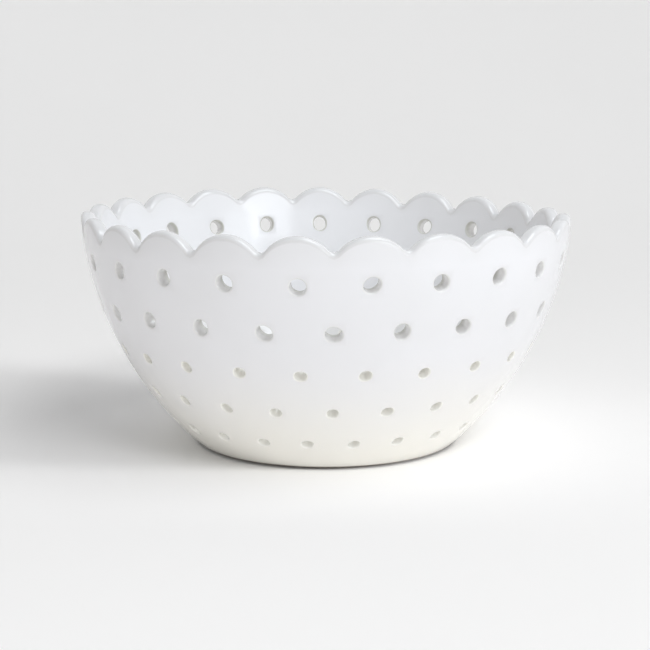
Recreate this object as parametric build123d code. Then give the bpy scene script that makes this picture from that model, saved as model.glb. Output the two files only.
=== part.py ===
from build123d import *
from math import acos, asin, cos, degrees, pi, radians, sin, sqrt
import os

# A pierced stoneware bowl with a scalloped lip. Millimetres and degrees, +Z up.
# The origin is on the table under the middle of the bowl, and the front faces -Y.

# Bowl
rim_diameter = 203.0  # across the outside of the lip, at the crests of its lobes
bowl_height = 98.0  # from the table to the crests
belly_radius = 141.5  # the one arc that the outer wall follows from lip to foot
rim_lean = 3.5  # how far from upright the wall still leans at the lip
wall_thickness = 6.0
floor_thickness = 6.0
floor_blend = 20.0  # inside radius where the floor turns up into the wall
edge_round = 0.8  # rounding of the glazed edge above the foot

# Foot
foot_reveal = 1.0  # the glazed edge stands this far above the table
foot_inset = 3.0  # from that edge in to the seat of the foot ring
foot_width = 6.0
foot_height = 2.5  # whole height of the ring, most of it sunk in its seat
foot_round = 0.6
slip_gap = 0.2  # joint filled with slip, round the outside of the ring
well_height = 3.0  # underside of the floor above the table, inside the ring

# Scalloped lip
lobe_count = 23
lobe_depth = 6.2  # from crest to valley
valley_radius = 2.5  # the valleys are rounded by the glaze
crest_trim = 0.1  # the crests are wiped this much lower than their arcs
lip_round = 2.2  # rounding of both edges of the lip, at the crests
lip_flat = 1.2  # least flat between the two roundings
first_lobe = -96.2  # the lobe just left of the front

# Drain holes
large_hole = 6.2
small_hole = 4.4
large_rows = 2  # the rows next to the lip have the large holes
first_row_drop = 18.5  # along the outer wall, from the crests to the first row
row_pitch = 18.8  # along the outer wall, from row to row
lowest_row_margin = 12.0  # least wall between a row and the glazed edge
floor_pitch = 20.0  # between the rings of holes in the floor
floor_margin = 2.0  # least clay between a floor hole and the foot ring

# What a cutter stands out past the clay on each side
cut_margin = 3.0

# Sizes worked out from the driving dimensions
rim_radius = rim_diameter / 2
arc_height = bowl_height + belly_radius * sin(radians(rim_lean))
arc_offset = rim_radius - belly_radius * cos(radians(rim_lean))
inner_radius = belly_radius - wall_thickness
floor_top = well_height + floor_thickness
lip_edge = min(lip_round, (wall_thickness - lip_flat) / 2)


def wall_reach(radius, height):
    """Distance from the axis to the wall arc of this radius, at a height."""
    return arc_offset + sqrt(radius**2 - (arc_height - height) ** 2)


glazed_edge = wall_reach(belly_radius, foot_reveal)
seat_radius = glazed_edge - foot_inset
foot_radius = seat_radius - slip_gap
foot_bore = foot_radius - foot_width


def wall_arc(radius, low, high):
    """The outer or inner wall, as one arc between two heights."""
    middle = (low + high) / 2
    return ThreePointArc(
        (wall_reach(radius, low), low),
        (wall_reach(radius, middle), middle),
        (wall_reach(radius, high), high),
    )


def bowl_section():
    """Half section of the bowl, with the step under the floor that takes the foot ring."""
    outer = wall_arc(belly_radius, foot_reveal, bowl_height)
    inner = wall_arc(inner_radius, floor_top, bowl_height)
    lip = Line(outer @ 1, inner @ 1)
    underside = Polyline(
        inner @ 0,
        (0, floor_top),
        (0, well_height),
        (foot_bore, well_height),
        (foot_bore, foot_height),
        (seat_radius, foot_height),
        (seat_radius, foot_reveal),
        outer @ 0,
    )
    section = make_face(Curve() + [outer, lip, inner, underside])
    corners = [
        (inner @ 0, floor_blend),
        (outer @ 0, edge_round),
        (outer @ 1, lip_edge),
        (inner @ 1, lip_edge),
    ]
    for corner, radius in corners:
        section = fillet(section.vertices().sort_by_distance(corner)[0], radius)
    return section


def lip_notch():
    """Cutter for the valley between two lobes: half a lobe, the valley, and half a lobe."""
    half_pitch = rim_radius * sin(pi / lobe_count)
    full_depth = lobe_depth + crest_trim
    centre_gap = (half_pitch**2 + full_depth**2) / (2 * full_depth)
    lobe_radius = centre_gap - valley_radius
    lobe_centre = bowl_height + crest_trim - lobe_radius
    valley_centre = bowl_height - lobe_depth + valley_radius
    share = valley_radius / centre_gap
    valley_side = half_pitch * share
    valley_top = valley_centre + (lobe_centre - valley_centre) * share
    notch_side = half_pitch - sqrt(lobe_radius**2 - (bowl_height - lobe_centre) ** 2)
    flank_angle = (
        asin(half_pitch / centre_gap) + acos((bowl_height - lobe_centre) / lobe_radius)
    ) / 2
    flank_side = half_pitch - lobe_radius * sin(flank_angle)
    flank_top = lobe_centre + lobe_radius * cos(flank_angle)
    above = bowl_height + cut_margin
    crest_end = (-notch_side, bowl_height)
    left = ThreePointArc(crest_end, (-flank_side, flank_top), (-valley_side, valley_top))
    valley = ThreePointArc(left @ 1, (0, bowl_height - lobe_depth), (valley_side, valley_top))
    right = ThreePointArc(valley @ 1, (flank_side, flank_top), (notch_side, bowl_height))
    over = Polyline(right @ 1, (notch_side, above), (-notch_side, above), left @ 0)
    outline = make_face(Curve() + [left, valley, right, over])
    inside = rim_radius - 2 * wall_thickness - cut_margin
    facing_out = Plane((inside, 0, 0), x_dir=(0, 1, 0), z_dir=(1, 0, 0))
    return extrude(facing_out * outline, amount=rim_radius + cut_margin - inside)


def lobe_turn(step):
    """Angle about the axis, counted in lobes from the first lobe."""
    return Rot(0, 0, first_lobe + 360 * step / lobe_count)


def wall_holes():
    """Rows of holes square to the wall, each row half a lobe round from the last."""
    edge_lean = degrees(asin((arc_height - foot_reveal) / belly_radius))
    wall_length = belly_radius * radians(edge_lean - rim_lean)
    room = wall_length - first_row_drop - lowest_row_margin
    holes = []
    for row in range(int(room / row_pitch) + 1):
        drop = first_row_drop + row * row_pitch
        lean = rim_lean + degrees(drop / belly_radius)
        height = arc_height - belly_radius * sin(radians(lean))
        square_to_wall = Pos(wall_reach(belly_radius, height), 0, height) * Rot(0, 90 + lean, 0)
        diameter = large_hole if row < large_rows else small_hole
        drill = Pos(0, 0, -wall_thickness / 2) * Cylinder(diameter / 2, wall_thickness + 2 * cut_margin)
        stagger = (row % 2) / 2
        holes += [lobe_turn(lobe + stagger) * square_to_wall * drill for lobe in range(lobe_count)]
    return holes


def floor_holes():
    """One hole in the middle of the floor and rings of six, twelve and so on round it."""
    drill = Pos(0, 0, well_height + floor_thickness / 2) * Cylinder(
        small_hole / 2, floor_thickness + 2 * cut_margin
    )
    holes = [drill]
    room = foot_bore - floor_margin - small_hole / 2
    for ring in range(1, int(room / floor_pitch) + 1):
        count = 6 * ring
        out = Pos(ring * floor_pitch, 0, 0)
        holes += [Rot(0, 0, 360 * hole / count) * out * drill for hole in range(count)]
    return holes


def make_bowl_body():
    bowl = revolve(Plane.XZ * bowl_section(), Axis.Z)
    notch = lip_notch()
    bowl -= [lobe_turn(lobe + 0.5) * notch for lobe in range(lobe_count)]
    return bowl - (wall_holes() + floor_holes())


def make_foot_ring():
    middle = foot_bore + foot_width / 2
    ring = Pos(middle, foot_height / 2) * Rectangle(foot_width, foot_height)
    ring = fillet(ring.vertices().group_by(Axis.Y)[0], foot_round)
    return revolve(Plane.XZ * ring, Axis.Z)


os.makedirs("parts", exist_ok=True)
export_step(make_bowl_body(), "parts/bowl_body.step")
export_step(make_foot_ring(), "parts/foot_ring.step")
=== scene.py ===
# %% [markdown]
# # A scalloped berry colander in white glaze
# The real object is one thrown stoneware bowl with drain holes punched through it, a lip cut into lobes, a
# bare foot ring stuck under the floor, and a glossy white glaze over everything but that ring. The packed
# CAD model gives the exact sizes. This lesson builds the same two pieces again as clean meshes with soft,
# glazed edges, gives them their finishes, and lights them as in a small photo studio.

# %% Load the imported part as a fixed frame
import math
import random

import bmesh
import bpy
from mathutils import Matrix, Vector


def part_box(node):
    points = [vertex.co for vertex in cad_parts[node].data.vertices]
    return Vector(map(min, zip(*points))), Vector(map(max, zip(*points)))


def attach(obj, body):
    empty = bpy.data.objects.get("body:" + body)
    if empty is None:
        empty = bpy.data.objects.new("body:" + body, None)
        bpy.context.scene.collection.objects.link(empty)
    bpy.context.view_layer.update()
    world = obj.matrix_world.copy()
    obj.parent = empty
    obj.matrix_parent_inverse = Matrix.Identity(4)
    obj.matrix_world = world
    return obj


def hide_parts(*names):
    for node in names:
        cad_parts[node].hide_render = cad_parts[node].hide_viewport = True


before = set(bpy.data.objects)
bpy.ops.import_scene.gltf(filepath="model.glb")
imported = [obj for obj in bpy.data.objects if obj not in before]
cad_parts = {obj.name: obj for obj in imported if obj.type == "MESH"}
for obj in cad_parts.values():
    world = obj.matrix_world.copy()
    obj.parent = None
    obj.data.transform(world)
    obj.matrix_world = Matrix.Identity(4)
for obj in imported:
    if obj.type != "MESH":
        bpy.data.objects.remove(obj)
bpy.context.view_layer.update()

# %% [markdown]
# ## The camera
# The bowl was photographed with a long lens from a little above the lip. A camera can be set by eye, but
# here the places of the lobes and holes were fitted first, which gives the distance, the pitch and the
# focal length of a square picture. The long lens keeps the far lip nearly as wide as the near one.

# %% Camera
def add_object(name, data):
    """Put new data in the scene as an object at the origin."""
    thing = bpy.data.objects.new(name, data)
    bpy.context.scene.collection.objects.link(thing)
    return thing


CAMERA_PLACE = (-0.0005, -0.680, 0.1686)
CAMERA_PITCH = math.radians(10.03)
SENSOR_WIDTH = 36.0
FOCAL_LENGTH = 90.68
camera = add_object("camera", bpy.data.cameras.new("camera"))
camera.data.sensor_width = SENSOR_WIDTH
camera.data.lens = FOCAL_LENGTH
camera.location = CAMERA_PLACE
camera.rotation_euler = (math.pi / 2 - CAMERA_PITCH, 0, 0)
bpy.context.scene.camera = camera
print("camera", CAMERA_PLACE, "lens", FOCAL_LENGTH)

# %% [markdown]
# ## The paper sweep
# Such a bowl is shot on a pale paper sweep: a table that curves up into a backdrop without an edge. A plane
# and a wall would show a line between them. Here one edge is extruded back for the table, spun up through a
# quarter turn for the curve, and extruded up for the backdrop, so the light changes smoothly all the way.

# %% Sweep
SWEEP_WIDTH = 8.0
TABLE_FRONT = -3.0
CURVE_START = 0.55
CURVE_RADIUS = 1.5
BACKDROP_TOP = 5.0
CURVE_STEPS = 32


def extrude_edges(bm, edges, move):
    """Extrude an open run of edges by a vector and return the new edges."""
    made = bmesh.ops.extrude_edge_only(bm, edges=edges)["geom"]
    bmesh.ops.translate(bm, verts=[g for g in made if isinstance(g, bmesh.types.BMVert)], vec=move)
    return [g for g in made if isinstance(g, bmesh.types.BMEdge) and len(g.link_faces) == 1
            and all(v in made for v in g.verts)]


def mesh_object(name, bm):
    """Turn a finished bmesh into a smooth-shaded mesh object."""
    for face in bm.faces:
        face.smooth = True
    mesh = bpy.data.meshes.new(name)
    bm.to_mesh(mesh)
    bm.free()
    return add_object(name, mesh)


bm = bmesh.new()
near_left = bm.verts.new((-SWEEP_WIDTH / 2, TABLE_FRONT, 0))
near_right = bm.verts.new((SWEEP_WIDTH / 2, TABLE_FRONT, 0))
front_edge = bm.edges.new((near_left, near_right))
table_back = extrude_edges(bm, [front_edge], (0, CURVE_START - TABLE_FRONT, 0))
curve = bmesh.ops.spin(bm, geom=table_back, cent=(0, CURVE_START, CURVE_RADIUS), axis=(1, 0, 0),
                       angle=math.pi / 2, steps=CURVE_STEPS)
curve_top = [g for g in curve["geom_last"] if isinstance(g, bmesh.types.BMEdge)]
extrude_edges(bm, curve_top, (0, 0, BACKDROP_TOP - CURVE_RADIUS))
bmesh.ops.recalc_face_normals(bm, faces=bm.faces[:])
sweep = mesh_object("paper_sweep", bm)
print("sweep faces", len(sweep.data.polygons))

# %% [markdown]
# ## The half section
# A thrown bowl is a turned form, so its half section says nearly everything. The outer wall is one arc from
# lip to foot, the inner wall is the same arc one wall thickness smaller, and a blend joins it to the flat
# floor. The section could be a list of points, but spinning the last point about each arc's own centre
# draws true arcs with just the steps that each stretch needs: six steps past every row of holes, and a few
# between.

# %% Sizes of the bowl
MM = 0.001
BOWL_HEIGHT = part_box("bowl_body")[1].z
RIM_RADIUS = 101.5 * MM
OUTER_ARC = 141.5 * MM
WALL = 6.0 * MM
RIM_LEAN = math.radians(3.5)
INNER_ARC = OUTER_ARC - WALL
ARC_HEIGHT = BOWL_HEIGHT + OUTER_ARC * math.sin(RIM_LEAN)
ARC_OFFSET = RIM_RADIUS - OUTER_ARC * math.cos(RIM_LEAN)
WALL_CENTRE = (ARC_OFFSET, 0, ARC_HEIGHT)

ROW_DROP = 18.5 * MM
ROW_PITCH = 18.8 * MM
LARGE_HOLE = 3.1 * MM
SMALL_HOLE = 2.2 * MM
ROW_HOLES = (LARGE_HOLE, LARGE_HOLE, SMALL_HOLE, SMALL_HOLE, SMALL_HOLE)
PATCH_MARGIN = 1.9 * MM
PATCH_CELLS = 6
GAP_CELLS = 3
NECK_CELLS = 2


def wall_reach(arc, height):
    """Distance from the axis to a wall arc at a height."""
    return ARC_OFFSET + math.sqrt(arc**2 - (ARC_HEIGHT - height) ** 2)


def row_lean(row):
    """How far the wall leans from upright at a row of holes, counted from the lip."""
    return RIM_LEAN + (ROW_DROP + row * ROW_PITCH) / OUTER_ARC


def patch_leans(row):
    """The lean at the upper and lower side of the patch of faces that a row of holes takes up."""
    half = (ROW_HOLES[row] + PATCH_MARGIN) / OUTER_ARC
    return row_lean(row) - half, row_lean(row) + half


print("rows of holes", [round(math.degrees(row_lean(row)), 1) for row in range(len(ROW_HOLES))], "degrees")

# %% Draw the half section
FLOOR_TOP = 9.0 * MM
FLOOR_BLEND = 20.0 * MM
DISC_RADIUS = 44.0 * MM
FOOT_REVEAL = 1.0 * MM
EDGE_ROUND = 0.8 * MM
WELL_TOP = 3.0 * MM
FOOT_WIDTH = 6.0 * MM
SLIP_GAP = 0.2 * MM
FOOT_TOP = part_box("foot_ring")[1].z
FOOT_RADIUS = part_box("foot_ring")[1].x
FOOT_BORE = FOOT_RADIUS - FOOT_WIDTH
SEAT_RADIUS = FOOT_RADIUS + SLIP_GAP
BLEND_STEPS = 6
BLEND_CELLS = 2
LOW_WALL_STEPS = 5
EDGE_STEPS = 4


class Outline:
    """A half section in the XZ plane, drawn on from its last vertex."""

    def __init__(self, bm, radius, height):
        self.bm = bm
        self.tip = bm.verts.new((radius, 0, height))

    def line(self, radius, height):
        """Draw a straight line on to a point."""
        self.tip = bmesh.ops.extrude_vert_indiv(self.bm, verts=[self.tip])["verts"][0]
        self.tip.co = (radius, 0, height)

    def arc(self, centre, turn, steps):
        """Spin the tip about a centre and return the numbers of the first and last ring."""
        first = len(self.bm.verts) - 1
        made = bmesh.ops.spin(self.bm, geom=[self.tip], cent=centre, axis=(0, 1, 0), angle=turn, steps=steps)
        self.tip = next(g for g in made["geom_last"] if isinstance(g, bmesh.types.BMVert))
        return first, first + steps


def draw_inner_wall(outline):
    """From the middle of the floor up the inside to the lip; returns the rings of each row's patch."""
    blend_height = FLOOR_TOP + FLOOR_BLEND
    blend_lean = math.asin((ARC_HEIGHT - blend_height) / (INNER_ARC - FLOOR_BLEND))
    blend_radius = ARC_OFFSET + (INNER_ARC - FLOOR_BLEND) * math.cos(blend_lean)
    blend_centre = (blend_radius, 0, blend_height)
    last = len(ROW_HOLES) - 1
    top, low = patch_leans(last)
    blend_share = (low - blend_lean) * INNER_ARC / FLOOR_BLEND
    outline.line(blend_radius, FLOOR_TOP)
    outline.arc(blend_centre, blend_lean + blend_share - math.pi / 2, BLEND_STEPS)
    first, _ = outline.arc(blend_centre, -blend_share, BLEND_CELLS)
    _, end = outline.arc(WALL_CENTRE, top - blend_lean, PATCH_CELLS - BLEND_CELLS)
    patches = {last: (first, end)}
    for row in reversed(range(last)):
        upper, lower = patch_leans(row)
        outline.arc(WALL_CENTRE, lower - patch_leans(row + 1)[0], GAP_CELLS)
        patches[row] = outline.arc(WALL_CENTRE, upper - lower, PATCH_CELLS)
    lip_lean = math.asin((ARC_HEIGHT - BOWL_HEIGHT) / INNER_ARC)
    patches["neck"] = outline.arc(WALL_CENTRE, lip_lean - patch_leans(0)[0], NECK_CELLS)
    return patches


def draw_outer_wall(outline):
    """From the lip down the outside to the edge above the foot; returns the rings of each row's patch."""
    edge_height = FOOT_REVEAL + EDGE_ROUND
    edge_lean = math.asin((ARC_HEIGHT - edge_height) / (OUTER_ARC - EDGE_ROUND))
    edge_radius = ARC_OFFSET + (OUTER_ARC - EDGE_ROUND) * math.cos(edge_lean)
    patches = {"neck": outline.arc(WALL_CENTRE, patch_leans(0)[0] - RIM_LEAN, NECK_CELLS)}
    for row in range(len(ROW_HOLES)):
        upper, lower = patch_leans(row)
        patches[row] = outline.arc(WALL_CENTRE, lower - upper, PATCH_CELLS)
        if row + 1 < len(ROW_HOLES):
            outline.arc(WALL_CENTRE, patch_leans(row + 1)[0] - lower, GAP_CELLS)
    outline.arc(WALL_CENTRE, edge_lean - lower, LOW_WALL_STEPS)
    outline.arc((edge_radius, 0, edge_height), math.pi / 2 - edge_lean, EDGE_STEPS)
    return patches


bowl = bmesh.new()
outline = Outline(bowl, DISC_RADIUS, FLOOR_TOP)
inner_patches = draw_inner_wall(outline)
outline.line(RIM_RADIUS, BOWL_HEIGHT)
outer_patches = draw_outer_wall(outline)
outline.line(SEAT_RADIUS, FOOT_REVEAL)
outline.line(SEAT_RADIUS, FOOT_TOP)
outline.line(FOOT_BORE, FOOT_TOP)
outline.line(FOOT_BORE, WELL_TOP)
outline.line(DISC_RADIUS, WELL_TOP)
LAST_RING = len(bowl.verts) - 1
print("rings", LAST_RING + 1, "inner", inner_patches, "outer", outer_patches)

# %% [markdown]
# ## Spin the wall
# The potter's wheel and Blender's spin do the same thing: rings and columns of four-sided faces. Sixteen
# columns to a lobe put a column on every crest, every valley and every hole. One long spin would take these
# steps one by one round the whole bowl. It is quicker to spin the wall under one lobe, spin copies of that
# for the other lobes, and merge the seams. Each ring keeps its number in a layer of the vertices, so that
# later steps can find a row again.

# %% Spin
LOBES = 23
LOBE_COLUMNS = 16
COLUMNS = LOBES * LOBE_COLUMNS
LOBE_TURN = 2 * math.pi / LOBES
COLUMN_TURN = LOBE_TURN / LOBE_COLUMNS
FIRST_LOBE = math.radians(-96.2)
MERGE_DISTANCE = 0.001 * MM

ring = bowl.verts.layers.int.new("ring")
for number, vert in enumerate(bowl.verts):
    vert[ring] = number
bmesh.ops.rotate(bowl, verts=bowl.verts[:], cent=(0, 0, 0), matrix=Matrix.Rotation(FIRST_LOBE, 3, "Z"))
bmesh.ops.spin(bowl, geom=bowl.verts[:] + bowl.edges[:], cent=(0, 0, 0), axis=(0, 0, 1),
               angle=LOBE_TURN, steps=LOBE_COLUMNS)
bmesh.ops.spin(bowl, geom=bowl.verts[:] + bowl.edges[:] + bowl.faces[:], cent=(0, 0, 0), axis=(0, 0, 1),
               angle=2 * math.pi - LOBE_TURN, steps=LOBES - 1, use_duplicate=True)
bmesh.ops.remove_doubles(bowl, verts=bowl.verts[:], dist=MERGE_DISTANCE)
print("wall faces", len(bowl.faces), "of", LAST_RING * COLUMNS)

# %% [markdown]
# ## Cut the lobes of the lip
# On the real bowl the lobes are cut with a template while the clay is soft: wide arcs that meet in small
# rounded valleys. A boolean would leave ragged faces, so the rings of the neck are pressed down instead.
# The lip takes the height of the template, and the ring under it follows part of the way, always along the
# wall's own arc. The cut is made by hand and the soft lip sags a little in the fire, so it runs lower at
# the back on the right, and the valleys are deeper on two sides. Two slow waves round the rim are enough to
# show that.

# %% Lobes
LOBE_DEPTH = 6.2 * MM
VALLEY_RADIUS = 2.5 * MM
CREST_TRIM = 0.1 * MM
HALF_LOBE = RIM_RADIUS * math.sin(math.pi / LOBES)
CENTRE_GAP = (HALF_LOBE**2 + (LOBE_DEPTH + CREST_TRIM) ** 2) / (2 * (LOBE_DEPTH + CREST_TRIM))
LOBE_RADIUS = CENTRE_GAP - VALLEY_RADIUS
VALLEY_SIDE = HALF_LOBE * VALLEY_RADIUS / CENTRE_GAP
LOW_SIDE = math.radians(20)
DEEP_SIDE = math.radians(40)
LIP_SAG = 0.85 * MM
SAG_LEVEL = 1.06
SAG_TWICE_ROUND = 0.82
DEEPER_VALLEYS = 0.14
NECK_EASE = 3


def hand_cut(drop, angle):
    """Make an even drop below the crests uneven round the rim."""
    side = angle - LOW_SIDE
    sag = LIP_SAG * (SAG_LEVEL + math.cos(side) + SAG_TWICE_ROUND * math.cos(2 * side))
    return sag + drop * (1 + DEEPER_VALLEYS * math.cos(2 * (angle - DEEP_SIDE)))


def lip_height(vert):
    """Height of the cut lip in the upright plane of a vertex."""
    angle = math.atan2(vert.co.y, vert.co.x)
    from_valley = ((angle - FIRST_LOBE) / LOBE_TURN % 1 - 0.5) * LOBE_TURN
    aside = abs(math.hypot(vert.co.x, vert.co.y) * math.sin(from_valley))
    if aside < VALLEY_SIDE:
        drop = LOBE_DEPTH - VALLEY_RADIUS + math.sqrt(VALLEY_RADIUS**2 - aside**2)
    else:
        drop = LOBE_RADIUS - CREST_TRIM - math.sqrt(LOBE_RADIUS**2 - (HALF_LOBE - aside) ** 2)
    return BOWL_HEIGHT - hand_cut(max(drop, 0), angle)


def press_neck(verts, arc, base):
    """Press the rings of the neck down from the crests to the lip's height, keeping them on the wall."""
    for vert in verts:
        share = ((vert.co.z - base) / (BOWL_HEIGHT - base)) ** NECK_EASE
        height = base + share * (lip_height(vert) - base)
        reach = wall_reach(arc, height) / math.hypot(vert.co.x, vert.co.y)
        vert.co = (vert.co.x * reach, vert.co.y * reach, height)


def rings_between(first, last):
    """All vertices of a run of rings."""
    return [vert for vert in bowl.verts if first <= vert[ring] <= last]


for arc, (first, last) in ((INNER_ARC, inner_patches["neck"]), (OUTER_ARC, outer_patches["neck"])):
    neck = rings_between(first, last)
    press_neck(neck, arc, min(vert.co.z for vert in neck))
lip_rings = (inner_patches["neck"][1], outer_patches["neck"][0])
lip_edges = [edge for edge in bowl.edges
             if edge.verts[0][ring] == edge.verts[1][ring] and edge.verts[0][ring] in lip_rings]
lip_low = min(vert.co.z for vert in rings_between(*lip_rings))
print("lip from", round(lip_low / MM, 2), "mm up, edges", len(lip_edges))

# %% [markdown]
# ## Punch the drain holes
# The holes are punched square to the wall, row by row, each row half a lobe round from the last. The hand
# slips a fraction of a millimetre each time and leaves most holes a little oval. Every hole takes a patch
# of six by six faces on both sides of the wall. The patch is dissolved into one face and inset, and the
# inset corners are moved from a square to a circle. Then the round faces go, and a bridge between the two
# circles makes the bore. No boolean is needed, and the faces stay four-sided.

# %% Holes in the wall
HALF_PATCH = PATCH_CELLS // 2
EIGHTH = math.pi / 4
PUNCH_SLIP = 0.4 * MM
PUNCH_OVAL = 0.08
punch = random.Random(23)
punch_slips = [[Vector((punch.uniform(-1, 1), punch.uniform(-1, 1), 0)) * PUNCH_SLIP for lobe in range(LOBES)]
               for radius in ROW_HOLES]
punch_ovals = [[(PUNCH_OVAL * punch.random(), punch.uniform(0, math.pi)) for lobe in range(LOBES)]
               for radius in ROW_HOLES]


def hole_frame(row, lobe, arc):
    """Matrix of a hole's mouth: x round the bowl, y down the wall, z out of it."""
    lean = row_lean(row)
    turn = FIRST_LOBE + (lobe + (row % 2) / 2) * LOBE_TURN
    mouth = Matrix.Translation((ARC_OFFSET + arc * math.cos(lean), 0, ARC_HEIGHT - arc * math.sin(lean)))
    facing = Matrix(((0, -math.sin(lean), math.cos(lean)), (1, 0, 0), (0, -math.cos(lean), -math.sin(lean))))
    return Matrix.Rotation(turn, 4, "Z") @ mouth @ facing.to_4x4()


def square_to_circle(across, down):
    """Move a point on the edge of the unit square to the unit circle, keeping its order."""
    if abs(across) >= abs(down):
        angle = EIGHTH * down / across
        return math.copysign(math.cos(angle), across), math.copysign(1, across) * math.sin(angle)
    angle = EIGHTH * across / down
    return math.copysign(1, down) * math.sin(angle), math.copysign(math.cos(angle), down)


def column_of(place):
    """Columns round from the first lobe, as a decimal number."""
    return (math.atan2(place.y, place.x) - FIRST_LOBE) / COLUMN_TURN % COLUMNS


face_at = {}
for face in bowl.faces:
    key = min(vert[ring] for vert in face.verts), int(column_of(face.calc_center_median()))
    face_at[key] = face

WALL_SIDES = ((OUTER_ARC, outer_patches, 1), (INNER_ARC, inner_patches, -1))
patch_faces = []
for arc, patches, downward in WALL_SIDES:
    for row in range(len(ROW_HOLES)):
        for lobe in range(LOBES):
            middle = round((lobe + (row % 2) / 2) * LOBE_COLUMNS)
            columns = [column % COLUMNS for column in range(middle - HALF_PATCH, middle + HALF_PATCH)]
            patch_faces += [face_at[number, column] for number in range(*patches[row]) for column in columns]
regions = bmesh.ops.dissolve_faces(bowl, faces=patch_faces)["region"]
print("patches", len(regions), "of", 2 * len(ROW_HOLES) * LOBES)

# %% Round mouths and bores
MOUTH_INSET = 0.2 * MM
side_of = {}
for arc, patches, downward in WALL_SIDES:
    for row in range(len(ROW_HOLES)):
        side_of[patches[row][0]] = (arc, row, downward)


def patch_owner(region):
    """The wall arc, row, lobe and downward direction of a dissolved patch."""
    arc, row, downward = side_of[min(vert[ring] for vert in region.verts)]
    lobe = round(column_of(region.calc_center_median()) / LOBE_COLUMNS - (row % 2) / 2) % LOBES
    return arc, row, lobe, downward


def round_mouth(region, arc, row, lobe, downward):
    """Move the corners of an inset patch onto the hole's circle, in the surface of the wall."""
    frame_of_hole = hole_frame(row, lobe, arc)
    first_ring = (outer_patches if downward > 0 else inner_patches)[row][0]
    middle = (lobe + (row % 2) / 2) * LOBE_COLUMNS
    own_edges = set(region.edges)
    oval, lie = punch_ovals[row][lobe]
    for vert in region.verts:
        spoke = next(edge for edge in vert.link_edges if edge not in own_edges)
        corner = spoke.other_vert(vert)
        across = (column_of(corner.co) - middle + COLUMNS / 2) % COLUMNS - COLUMNS / 2
        down = downward * (corner[ring] - first_ring - HALF_PATCH)
        x, y = square_to_circle(across / HALF_PATCH, down / HALF_PATCH)
        radius = ROW_HOLES[row] * (1 + oval * math.cos(2 * (math.atan2(y, x) - lie)))
        place = frame_of_hole @ (Vector((x, y, 0)) * radius + punch_slips[row][lobe])
        reach = wall_reach(arc, place.z) / math.hypot(place.x, place.y)
        vert.co = (place.x * reach, place.y * reach, place.z)


owners = [patch_owner(region) for region in regions]
bmesh.ops.inset_individual(bowl, faces=regions, thickness=MOUTH_INSET)
outer_mouths = {}
inner_mouths = {}
for region, (arc, row, lobe, downward) in zip(regions, owners):
    round_mouth(region, arc, row, lobe, downward)
    side = outer_mouths if downward > 0 else inner_mouths
    side[row, lobe] = list(region.edges)
bmesh.ops.delete(bowl, geom=regions, context="FACES_ONLY")
bore_edges = {LARGE_HOLE: [], SMALL_HOLE: []}
for (row, lobe), edges in outer_mouths.items():
    bore = bmesh.ops.bridge_loops(bowl, edges=edges + inner_mouths[row, lobe])
    bore_edges[ROW_HOLES[row]] += bore["edges"]
print("holes in the wall", len(outer_mouths))

# %% [markdown]
# ## The pierced floor
# Water has to leave through the floor as well, so a hole in the middle and two rings round it go down into
# the foot well. The floor and the well are flat, so each is one fill between the wall's last ring and the
# collars round the holes. A collar keeps the fill's long triangles away from the rounded mouths.

# %% Floor and well
FLOOR_COLLAR = 3.3 * MM
FLOOR_PITCH = 20.0 * MM
FLOOR_RINGS = 2
HOLE_SIDES = 24


def floor_places():
    """Middles of the floor holes: one, then rings of six and twelve."""
    places = [Vector((0, 0, 0))]
    for number in range(1, FLOOR_RINGS + 1):
        for hole in range(6 * number):
            angle = 2 * math.pi * hole / (6 * number)
            places.append(Vector((math.cos(angle), math.sin(angle), 0)) * number * FLOOR_PITCH)
    return places


def circle_edges(radius, place):
    """A new circle's edges."""
    made = bmesh.ops.create_circle(bowl, radius=radius, segments=HOLE_SIDES, matrix=Matrix.Translation(place))
    return list({edge for vert in made["verts"] for edge in vert.link_edges})


floor_mouths = [[] for place in floor_places()]
for number, height in ((0, FLOOR_TOP), (LAST_RING, WELL_TOP)):
    outline_edges = [edge for edge in bowl.edges if all(vert[ring] == number for vert in edge.verts)
                     and len(edge.link_faces) == 1]
    for place, mouth_edges in zip(floor_places(), floor_mouths):
        lifted = place + Vector((0, 0, height))
        collar = circle_edges(FLOOR_COLLAR, lifted)
        mouth = circle_edges(SMALL_HOLE, lifted)
        bmesh.ops.bridge_loops(bowl, edges=collar + mouth)
        mouth_edges += mouth
        outline_edges += collar
    bmesh.ops.triangle_fill(bowl, edges=outline_edges, use_beauty=True, normal=(0, 0, 1))
for mouth_edges in floor_mouths:
    bore_edges[SMALL_HOLE] += bmesh.ops.bridge_loops(bowl, edges=mouth_edges)["edges"]
# The bevels that follow need all faces to point the same way.
bmesh.ops.recalc_face_normals(bowl, faces=bowl.faces[:])
open_edges = [edge for edge in bowl.edges if len(edge.link_faces) != 2]
print("floor holes", len(floor_mouths), "open edges", len(open_edges))
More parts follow.
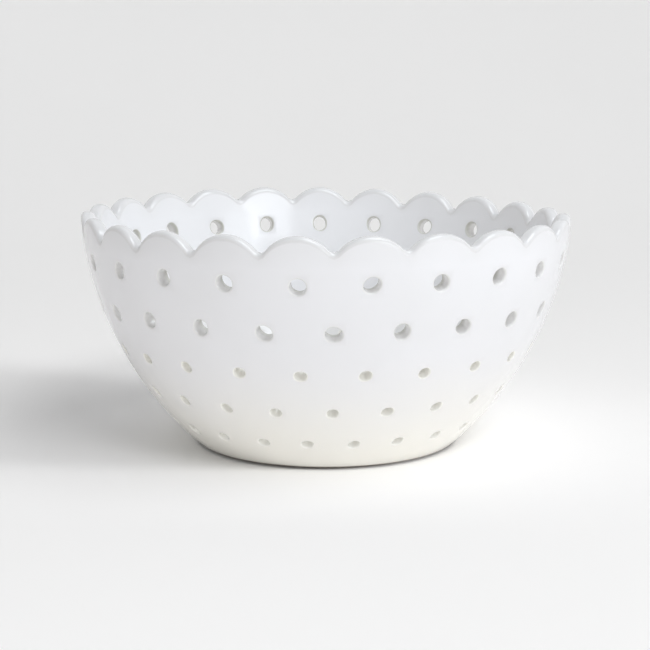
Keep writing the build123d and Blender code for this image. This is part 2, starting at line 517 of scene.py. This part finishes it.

# %% [markdown]
# ## Soften the edges under the glaze
# Glaze runs off a sharp edge and leaves it rounded and a little thin, so no edge of the bowl is sharp. The
# lip's two edges get a wide bevel after the lobes are cut, so the rounding stays square to the cut all the
# way round, and every mouth gets a narrow one. Three layers of the vertices hold painted colour. The first
# marks where the glaze is thin on the crowns of edges, and also paints shade on the lip's top and dark
# outlines round the mouths. The second marks where the glaze pools in the bores, and also paints light
# there. The third paints shade at the inner ends of the large bores. The finish reads them later.

# %% Rounded lip and mouths
LIP_ROUND = 2.2 * MM
LIP_SEGMENTS = 6
LARGE_MOUTH_ROUND = 0.75 * MM
SMALL_MOUTH_ROUND = 0.65 * MM
MOUTH_SEGMENTS = 3
# Amounts of thin glaze on edge crowns, which also paint shade: a darker lip top and dark mouth outlines.
LIP_WEAR_AND_SHADE = 0.6
FACING_UP = 0.5
LARGE_MOUTH_WEAR_AND_SHADE = 0.4
SMALL_MOUTH_WEAR_AND_SHADE = 0.15
BORDER_SHARE = 0.3
# Amounts of creamy pooled glaze in the bores, which is also painted light, lighter than the wall.
LARGE_BORE_POOL_AND_LIGHT = 0.3
SMALL_BORE_POOL_AND_LIGHT = 1.0
# Painted shade at the inner ends of the large bores.
LARGE_BORE_PAINTED_SHADE = 0.5
# Layers of thinned glaze with painted shade, pooling glaze with painted light, and painted shade in the
# bores.
thin_and_shade = bowl.verts.layers.float.new("glaze_thin_and_shade")
pooled_and_lit = bowl.verts.layers.float.new("glaze_pooled_and_lit")
bore_shade = bowl.verts.layers.float.new("bore_painted_shade")


def soften(edges, width, segments, wear_and_shade):
    """Round edges with a bevel; mark the rounding's crown as thinly glazed, and painted darker as painted
    shade.
    """
    made = bmesh.ops.bevel(bowl, geom=edges, offset=width, offset_type="OFFSET", segments=segments,
                           profile=0.5, affect="EDGES", material=-1, loop_slide=True)
    rounding = set(made["faces"])
    for vert in made["verts"]:
        vert[thin_and_shade] = wear_and_shade if all(face in rounding for face in vert.link_faces) else BORDER_SHARE * wear_and_shade
    return made


def edges_of_size(mouths, radius):
    """The edges of all mouths of one radius."""
    return [edge for (row, lobe), edges in mouths.items() if ROW_HOLES[row] == radius for edge in edges]


def mark(verts, layer, amount):
    """Write an amount of thinned glaze and shade, pooling glaze and light, or bore shade on vertices."""
    for vert in verts:
        vert[layer] = amount


def pool_and_light_glaze(radius, share):
    """Cut the bores of one radius across their middle; mark pooling glaze, also painted light, there."""
    cut = bmesh.ops.subdivide_edges(bowl, edges=bore_edges[radius], cuts=1)["geom_inner"]
    mark([part for part in cut if isinstance(part, bmesh.types.BMVert)], pooled_and_lit, share)


def bore_ends(made):
    """The vertices where the rounding of a mouth meets the bore."""
    return [vert for vert in made["verts"]
            if any(edge.other_vert(vert)[pooled_and_lit] > 0 for edge in vert.link_edges)]


# The middles of the bores get pooled glaze, painted lighter than the wall as painted light.
pool_and_light_glaze(LARGE_HOLE, LARGE_BORE_POOL_AND_LIGHT)
pool_and_light_glaze(SMALL_HOLE, SMALL_BORE_POOL_AND_LIGHT)
soften(lip_edges, LIP_ROUND, LIP_SEGMENTS, LIP_WEAR_AND_SHADE)
# The flat between the lip's two roundings is as thin as their crowns; this paints shade on the lip's top.
mark([vert for vert in bowl.verts if vert[thin_and_shade] > 0 and vert.normal.z > FACING_UP], thin_and_shade, LIP_WEAR_AND_SHADE)
# The mouths' crowns get thin glaze with painted shade, which draws dark outlines round the holes.
small_edges = edges_of_size(outer_mouths, SMALL_HOLE) + edges_of_size(inner_mouths, SMALL_HOLE)
small_edges += [edge for edges in floor_mouths for edge in edges]
small_ends = bore_ends(soften(small_edges, SMALL_MOUTH_ROUND, MOUTH_SEGMENTS, SMALL_MOUTH_WEAR_AND_SHADE))
outer_large = edges_of_size(outer_mouths, LARGE_HOLE)
outer_ends = bore_ends(soften(outer_large, LARGE_MOUTH_ROUND, MOUTH_SEGMENTS, LARGE_MOUTH_WEAR_AND_SHADE))
inner_large = edges_of_size(inner_mouths, LARGE_HOLE)
inner_ends = bore_ends(soften(inner_large, LARGE_MOUTH_ROUND, MOUTH_SEGMENTS, LARGE_MOUTH_WEAR_AND_SHADE))
# The ends of the bores get the same pooled glaze and painted light.
mark(small_ends, pooled_and_lit, SMALL_BORE_POOL_AND_LIGHT)
mark(outer_ends, pooled_and_lit, LARGE_BORE_POOL_AND_LIGHT)
# The inner ends of the large bores get painted shade.
mark(inner_ends, bore_shade, LARGE_BORE_PAINTED_SHADE)
print("faces with rounded edges", len(bowl.faces))

# %% The bowl as an object
SHARP_ANGLE = math.radians(50)
bmesh.ops.recalc_face_normals(bowl, faces=bowl.faces[:])
bowl_triangles = sum(len(face.verts) - 2 for face in bowl.faces)
bowl_glazed = mesh_object("bowl_glazed", bowl)
bowl_glazed.data.set_sharp_from_angle(angle=SHARP_ANGLE)
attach(bowl_glazed, "root")
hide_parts("bowl_body")
print("bowl triangles", bowl_triangles)

# %% [markdown]
# ## The foot ring
# The foot is a ring of bare clay, turned, wiped round at the bottom and stuck into its seat with slip,
# which squeezes out into a small hollow bead at its side. It stands under the glaze as the dark line below
# the bowl. It is a turned form as well, so the same outline helper draws its section, and one spin closes
# it.

# %% Foot ring
FOOT_ROUND = 0.6 * MM
SLIP_BEAD = FOOT_REVEAL - FOOT_ROUND
SLIP_CLEARANCE = 0.02 * MM
ROUND_STEPS = 5
BEAD_STEPS = 4
FOOT_STEPS = 184
QUARTER = math.pi / 2

bm = bmesh.new()
outline = Outline(bm, FOOT_BORE, FOOT_TOP)
outline.line(FOOT_BORE, FOOT_ROUND)
outline.arc((FOOT_BORE + FOOT_ROUND, 0, FOOT_ROUND), -QUARTER, ROUND_STEPS)
outline.line(FOOT_RADIUS - FOOT_ROUND, 0)
outline.arc((FOOT_RADIUS - FOOT_ROUND, 0, FOOT_ROUND), -QUARTER, ROUND_STEPS)
outline.arc((FOOT_RADIUS + SLIP_BEAD, 0, FOOT_ROUND), QUARTER, BEAD_STEPS)
outline.line(SEAT_RADIUS - SLIP_CLEARANCE, FOOT_REVEAL)
outline.line(SEAT_RADIUS - SLIP_CLEARANCE, FOOT_TOP)
outline.line(FOOT_BORE, FOOT_TOP)
bmesh.ops.spin(bm, geom=bm.verts[:] + bm.edges[:], cent=(0, 0, 0), axis=(0, 0, 1), angle=2 * math.pi,
               steps=FOOT_STEPS, use_merge=True)
bmesh.ops.remove_doubles(bm, verts=bm.verts[:], dist=MERGE_DISTANCE)
bmesh.ops.recalc_face_normals(bm, faces=bm.faces[:])
print("foot ring faces", len(bm.faces), "open edges", sum(len(edge.link_faces) != 2 for edge in bm.edges))
foot_ring_bare = mesh_object("foot_ring_bare", bm)
foot_ring_bare.data.set_sharp_from_angle(angle=SHARP_ANGLE)
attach(foot_ring_bare, "root")
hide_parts("foot_ring")

# %% [markdown]
# ## Writing materials as expressions
# A finish is a net of nodes, which is hard to read as links. So one small class holds a socket: arithmetic
# on it adds Math nodes, and one method adds any other node from its type, its settings and its sockets. The
# short methods after it use that one for the nodes that every finish needs.

# %% Node helper
class Wire:
    """An output socket of a material's node tree; arithmetic on it adds Math nodes."""

    def __init__(self, tree, socket=None):
        self.tree = tree
        self.socket = socket

    def add(self, kind, settings=None, sockets=None, output=0):
        """Add one node: its type, its settings, then the values or links of its sockets."""
        node = self.tree.nodes.new(kind)
        for name, value in (settings or {}).items():
            setattr(node, name, value)
        for name, value in (sockets or {}).items():
            if isinstance(value, Wire):
                self.tree.links.new(value.socket, node.inputs[name])
            else:
                node.inputs[name].default_value = value
        return Wire(self.tree, node.outputs[output])

    def math(self, operation, first, second):
        """Add one Math node."""
        return self.add("ShaderNodeMath", {"operation": operation}, {0: first, 1: second})

    def __add__(self, other):
        return self.math("ADD", self, other)

    def __sub__(self, other):
        return self.math("SUBTRACT", self, other)

    def __rsub__(self, other):
        return self.math("SUBTRACT", other, self)

    def __mul__(self, other):
        return self.math("MULTIPLY", self, other)

    __radd__ = __add__
    __rmul__ = __mul__

    def fade(self, start, end):
        """0 up to one value of the wire, 1 from another on, and smooth between."""
        return self.add("ShaderNodeMapRange", {"interpolation_type": "SMOOTHSTEP"},
                        {"Value": self, "From Min": start, "From Max": end})

    def noise(self, scale, detail=2.0):
        """Cloudy noise on this coordinate, with its features one over the scale across, in metres."""
        return self.add("ShaderNodeTexNoise", {}, {"Vector": self, "Scale": scale, "Detail": detail})

    def tint(self, base, colour):
        """Mix from a base colour to another by this wire; a Mix node's colours are sockets 6 and 7."""
        return self.add("ShaderNodeMix", {"data_type": "RGBA"}, {0: self, 6: base, 7: colour}, output=2)

    def bump(self, depth, under=None):
        """A bump of this height, on top of another one if given."""
        sockets = {"Height": self, "Distance": depth, "Strength": 1.0}
        if under:
            sockets["Normal"] = under
        return self.add("ShaderNodeBump", {}, sockets)


def new_finish(name):
    """A fresh material, with a wire that can add nodes to its tree and its Principled shader's inputs."""
    material = bpy.data.materials.new(name)
    material.use_nodes = True
    tree = material.node_tree
    shader = next(node for node in tree.nodes if node.type == "BSDF_PRINCIPLED")
    return material, Wire(tree), shader.inputs


def plug(inputs, **values):
    """Set or link a shader's inputs; an underscore in a name stands for a space."""
    for name, value in values.items():
        socket = inputs[name.replace("_", " ")]
        if isinstance(value, Wire):
            value.tree.links.new(value.socket, socket)
        else:
            socket.default_value = value


def rgb(red, green, blue):
    """A colour as a node's socket takes it."""
    return (red, green, blue, 1.0)


print("finish helpers ready")

# %% [markdown]
# ## The white glaze
# The glaze is a glassy white coat over pale clay. It is cool and clean on the wall and a little creamier
# towards the foot. In the bores, where it pools, it is creamy and painted lighter than the wall, as painted
# light. On the crown of every edge, where it has thinned, it is duller, and this also paints shade on the
# lip's top and round the mouths. Deep in the large bores it is painted darker, as painted shade. The last
# millimetre above the table is wiped back to the clay, so that the bowl can't stick to the kiln shelf, and
# that band is painted darker than bare clay, as painted shade under the bowl's edge. Its surface is glossy
# but not a mirror: a slow unevenness from the wheel bends the reflections and a fine orange peel breaks
# their edges.

# %% White glaze
GLAZE_WHITE = rgb(0.872, 0.868, 0.884)
GLAZE_CLOUD = rgb(0.855, 0.85, 0.862)
GLAZE_CREAM = rgb(0.90, 0.875, 0.80)
# Thin glaze on edge crowns, which is also painted shade on the lip and round the mouths.
GLAZE_THIN_AND_SHADE = rgb(0.66, 0.645, 0.63)
# Creamy pooled glaze, lighter than the wall: painted light in the bores.
GLAZE_POOLED_AND_LIT = rgb(0.94, 0.925, 0.875)
# Painted shade deep in the large bores.
BORE_PAINTED_SHADE = rgb(0.50, 0.49, 0.39)
# Wiped clay, painted darker than bare clay: painted shade under the bowl's edge.
WIPED_CLAY_AND_CONTACT_SHADE = rgb(0.30, 0.27, 0.24)
CLOUD_SCALE = 28.0
CLOUD_FADE = (0.35, 0.75)
CREAM_DRIFT = 20 * MM
CREAM_FADE = (2 * MM, 55 * MM)
CREAM_SHARE = 0.85
WIPED_AND_SHADE_FADE = (1.1 * MM, 1.6 * MM)
WHEEL_SCALE = 38.0
WHEEL_DEPTH = 0.6 * MM
PEEL_SCALE = 700.0
PEEL_DEPTH = 0.02 * MM
GLAZE_ROUGHNESS = 0.11
CLOUD_ROUGHNESS = 0.07
EDGE_ROUGHNESS = 0.06
WIPED_ROUGHNESS = 0.6
GLAZE_IOR = 1.55


def make_white_glaze():
    material, wire, inputs = new_finish("white_glaze")
    place = wire.add("ShaderNodeTexCoord", output="Object")
    height = wire.add("ShaderNodeSeparateXYZ", {}, {0: place}, output="Z")
    # Thinned glaze on edge crowns, which also paints shade on the lip and round the mouths.
    edge = wire.add("ShaderNodeAttribute", {"attribute_name": "glaze_thin_and_shade"}, output="Fac")
    # Pooling glaze in the bores, which also paints light there.
    bore = wire.add("ShaderNodeAttribute", {"attribute_name": "glaze_pooled_and_lit"}, output="Fac")
    # Painted shade deep in the large bores.
    deep_bore_shade = wire.add("ShaderNodeAttribute", {"attribute_name": "bore_painted_shade"}, output="Fac")
    clouds = place.noise(CLOUD_SCALE, detail=3.0)
    low = 1 - (height + CREAM_DRIFT * (clouds - 0.5)).fade(*CREAM_FADE)
    colour = clouds.fade(*CLOUD_FADE).tint(GLAZE_WHITE, GLAZE_CLOUD)
    colour = (low * CREAM_SHARE).tint(colour, GLAZE_CREAM)
    # Painted shade on edge crowns, painted light in the bores, and painted shade deep in the large bores.
    colour = edge.tint(colour, GLAZE_THIN_AND_SHADE)
    colour = bore.tint(colour, GLAZE_POOLED_AND_LIT)
    colour = deep_bore_shade.tint(colour, BORE_PAINTED_SHADE)
    # The wiped band at the foot of the bowl, painted darker than bare clay as painted shade.
    wiped_and_shade = 1 - height.fade(*WIPED_AND_SHADE_FADE)
    colour = wiped_and_shade.tint(colour, WIPED_CLAY_AND_CONTACT_SHADE)
    wheel = place.noise(WHEEL_SCALE, detail=1.0).bump(WHEEL_DEPTH)
    peel = place.noise(PEEL_SCALE).bump(PEEL_DEPTH, wheel)
    gloss = GLAZE_ROUGHNESS + CLOUD_ROUGHNESS * clouds + EDGE_ROUGHNESS * edge + WIPED_ROUGHNESS * wiped_and_shade
    plug(inputs, Base_Color=colour, Roughness=gloss, Normal=peel, IOR=GLAZE_IOR)
    return material


bowl_glazed.data.materials.append(make_white_glaze())
print("glaze on", bowl_glazed.name)

# %% [markdown]
# ## The bare stoneware
# The foot is wiped clean before the firing, so it stays matt and sandy. Fine rings from turning run round
# it, with grains of lighter and darker clay between them. Rings come from the sine of the distance from the
# axis.

# %% Bare stoneware
CLAY_PALE = rgb(0.68, 0.60, 0.50)
CLAY_DARK = rgb(0.50, 0.42, 0.33)
TURNING_PITCH = 0.5 * MM
TURNING_SHARE = 0.3
WOBBLE_SCALE = 120.0
WOBBLE_SWING = 3.6
GRAIN_SCALE = 1800.0
GRAIN_FADE = (0.35, 0.7)
GROOVE_DEPTH = 0.12 * MM
CLAY_ROUGHNESS = 0.75
GRAIN_ROUGHNESS = 0.2


def make_bare_stoneware():
    material, wire, inputs = new_finish("bare_stoneware")
    place = wire.add("ShaderNodeTexCoord", output="Object")
    flat = wire.add("ShaderNodeVectorMath", {"operation": "MULTIPLY"}, {0: place, 1: (1, 1, 0)})
    reach = wire.add("ShaderNodeVectorMath", {"operation": "LENGTH"}, {0: flat}, output="Value")
    wobble = place.noise(WOBBLE_SCALE) * WOBBLE_SWING
    turning = wire.math("SINE", reach * (2 * math.pi / TURNING_PITCH) + wobble, 0.0)
    grains = place.noise(GRAIN_SCALE, detail=3.0)
    colour = grains.fade(*GRAIN_FADE).tint(CLAY_DARK, CLAY_PALE)
    grooves = (turning * TURNING_SHARE + grains).bump(GROOVE_DEPTH)
    plug(inputs, Base_Color=colour, Roughness=CLAY_ROUGHNESS + GRAIN_ROUGHNESS * grains, Normal=grooves)
    return material


foot_ring_bare.data.materials.append(make_bare_stoneware())
print("stoneware on", foot_ring_bare.name)

# %% [markdown]
# ## The paper
# The sweep is matt white paper. Its colour drifts a very little, so that it isn't a flat fill.

# %% Paper
PAPER_WHITE = rgb(0.95, 0.95, 0.95)
PAPER_GREY = rgb(0.94, 0.94, 0.94)
DRIFT_SCALE = 3.0
DRIFT_FADE = (0.3, 0.7)
PAPER_ROUGHNESS = 0.85
PAPER_SPECULAR = 0.2


def make_paper():
    material, wire, inputs = new_finish("sweep_paper")
    place = wire.add("ShaderNodeTexCoord", output="Object")
    colour = place.noise(DRIFT_SCALE).fade(*DRIFT_FADE).tint(PAPER_WHITE, PAPER_GREY)
    plug(inputs, Base_Color=colour, Roughness=PAPER_ROUGHNESS, Specular_IOR_Level=PAPER_SPECULAR)
    return material


sweep.data.materials.append(make_paper())
print("paper on", sweep.name)

# %% [markdown]
# ## The lights
# The photo shows soft light from the right and from the front on the right, where a softbox leaves its
# bright reflection inside the far wall. A long soft shadow lies on the left. In a studio, flags and grids
# keep the light for the bowl off the paper, and the other way round, so that the white bowl doesn't burn
# out before the paper is bright. Light linking does the same: a light with receivers reaches only those
# objects. Two of the paper's own lights stand far off, so they are suns, which fall off nowhere: a low one
# draws the long shadow, and a high, wide one leaves the soft dark edge under the bowl's overhang.

# %% Lights
def receivers(name, *things):
    """A collection of the objects that a light is kept to."""
    group = bpy.data.collections.new(name)
    for thing in things:
        group.objects.link(thing)
    return group


def hang_light(lamp, group, place, aim):
    """Put a lamp in the scene at a place, turned to face a point, for one group of receivers."""
    light = add_object(lamp.name, lamp)
    light.location = place
    light.rotation_euler = (Vector(aim) - Vector(place)).to_track_quat("-Z", "Y").to_euler()
    light.light_linking.receiver_collection = group


def softbox(name, group, place, aim, size, power, colour=(1, 1, 1), grid=math.pi):
    """A rectangular area light; a grid narrows the angle that it shines into."""
    lamp = bpy.data.lights.new(name, "AREA")
    lamp.shape = "RECTANGLE"
    lamp.size, lamp.size_y = size
    lamp.energy = power
    lamp.color = colour
    lamp.spread = grid
    hang_light(lamp, group, place, aim)


def far_light(name, group, place, aim, softness, strength):
    """A light so far off that it is as strong everywhere, as wide as an angle in the sky."""
    lamp = bpy.data.lights.new(name, "SUN")
    lamp.angle = softness
    lamp.energy = strength
    hang_light(lamp, group, place, aim)


COOL = (0.90, 0.95, 1.0)
BOWL_MIDDLE = (0, 0, 0.05)
TABLE_FRONT_MIDDLE = (0.27, -0.54, 0)
bowl_side = receivers("bowl_side", bowl_glazed, foot_ring_bare)
paper_side = receivers("paper_side", sweep)
softbox("key_softbox", bowl_side, place=(0.40, -0.32, 1.27), aim=BOWL_MIDDLE,
        size=(0.8, 0.8), power=10.8, colour=COOL)
softbox("front_softbox", bowl_side, place=(0.64, -1.02, 0.33), aim=BOWL_MIDDLE,
        size=(0.50, 0.42), power=2.1, colour=COOL)
softbox("side_softbox", bowl_side, place=(0.95, -0.80, 0.48), aim=BOWL_MIDDLE,
        size=(0.50, 0.45), power=1.3, colour=COOL)
softbox("table_softbox", paper_side, place=(0.78, -1.47, 1.56), aim=TABLE_FRONT_MIDDLE,
        size=(1.0, 0.6), power=3.3, grid=math.radians(74))
far_light("low_light", paper_side, place=(1.22, -0.38, 0.42), aim=BOWL_MIDDLE,
          softness=math.radians(12), strength=1.42)
far_light("high_light", paper_side, place=(0.68, -0.20, 1.12), aim=BOWL_MIDDLE,
          softness=math.radians(36), strength=0.60)

# %% [markdown]
# ## The studio air
# Light from pale walls reaches the bowl from all sides and shows in the glaze, while the ceiling is darker.
# A world of one colour would light the bowl too evenly, so the world's strength fades with height, from the
# walls to the ceiling. The Standard view keeps the whites of glaze and paper as bright as in the photo.

# %% Pale studio walls under a darker ceiling
CEILING_GLOW = 0.17
WALL_GLOW = 0.63
CEILING_FADE = (0.15, 0.8)
world = bpy.data.worlds.new("studio_air")
world.use_nodes = True
air = Wire(world.node_tree)
direction = air.add("ShaderNodeTexCoord", output="Generated")
upward = air.add("ShaderNodeSeparateXYZ", {}, {0: direction}, output="Z")
plug(world.node_tree.nodes["Background"].inputs, Color=rgb(1, 1, 1),
     Strength=CEILING_GLOW + WALL_GLOW * (1 - upward.fade(*CEILING_FADE)))
bpy.context.scene.world = world
bpy.context.scene.view_settings.view_transform = "Standard"
print("glow of the walls", CEILING_GLOW + WALL_GLOW, "and of the ceiling", CEILING_GLOW)

# %% [markdown]
# ## Finish
# Last, the view layer is brought up to date.

# %% Update the view layer
bpy.context.view_layer.update()
